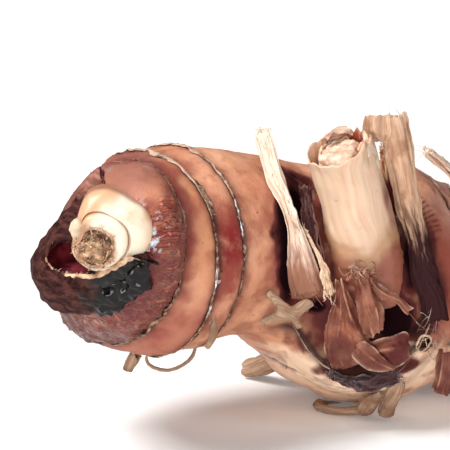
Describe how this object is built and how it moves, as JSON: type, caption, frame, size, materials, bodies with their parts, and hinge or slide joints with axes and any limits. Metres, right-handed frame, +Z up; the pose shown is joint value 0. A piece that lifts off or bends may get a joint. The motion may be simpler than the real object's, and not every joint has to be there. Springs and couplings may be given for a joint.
{
  "type": "galangal root",
  "caption": "Trimmed galangal rhizome lying on a table: a ringed, budding bulb at one end, a knobby crown with a stem stub, dry stalks and torn husks, and a cut face at the other end.",
  "frame": {"origin": "on the table, under the middle of the whole piece's bounding box", "axes": "+Z up, +X along the rhizome from the bulb with the bud to the cut face, -Y towards the side that bears the stem and the torn husks"},
  "size_m": [0.1036, 0.0712, 0.0515],
  "materials": {
    "rhizome_skin": "smooth moist skin, peach tan with maroon zones",
    "bud_leaf": "cream bud leaf, slightly waxy",
    "bud_fibre": "frayed brown fibre",
    "dark_husk": "dark purple-brown papery leaf base",
    "stem_sheath": "cream stem sheath with a fine grain",
    "stem_pith": "pale pith at the broken top",
    "straw": "dry straw-coloured leaf base",
    "leaf_scar": "ragged brown fringe of a leaf scar",
    "husk": "reddish-brown papery husk",
    "root": "dry fibrous root"
  },
  "bodies": {
    "root": {"rhizome": "rhizome_skin", "bud_leaf_inner": "bud_leaf", "bud_leaf_outer": "bud_leaf", "bud_core": "bud_fibre", "bud_hood": "dark_husk", "crown_rim_scale": "dark_husk", "crown_scale_left": "dark_husk", "stem_sheath": "stem_sheath", "stem_pith": "stem_pith", "left_stalk": "straw", "left_stalk_flap": "straw", "right_stalk": "straw", "right_stalk_strip": "straw", "crown_scale_top": "straw", "crown_scale_back": "straw", "bulb_scar_front": "leaf_scar", "bulb_scar_middle": "leaf_scar", "bulb_scar_back": "leaf_scar", "crown_scar": "leaf_scar", "shoulder_scar": "leaf_scar", "right_scar_near": "leaf_scar", "right_scar_far": "leaf_scar", "husk_front_left": "husk", "husk_front_middle": "husk", "husk_front_right": "husk", "husk_front_lower": "husk", "crown_scale_right": "husk", "root_front_left": "root", "root_front_right": "root", "root_loop": "root", "root_back_left": "root", "root_back_right": "root", "root_under_right": "root", "rootlet_left": "root", "collar_rootlet": "root", "bulb_root_tuft": "root", "bulb_root_hair": "root"}
  },
  "joints": []
}
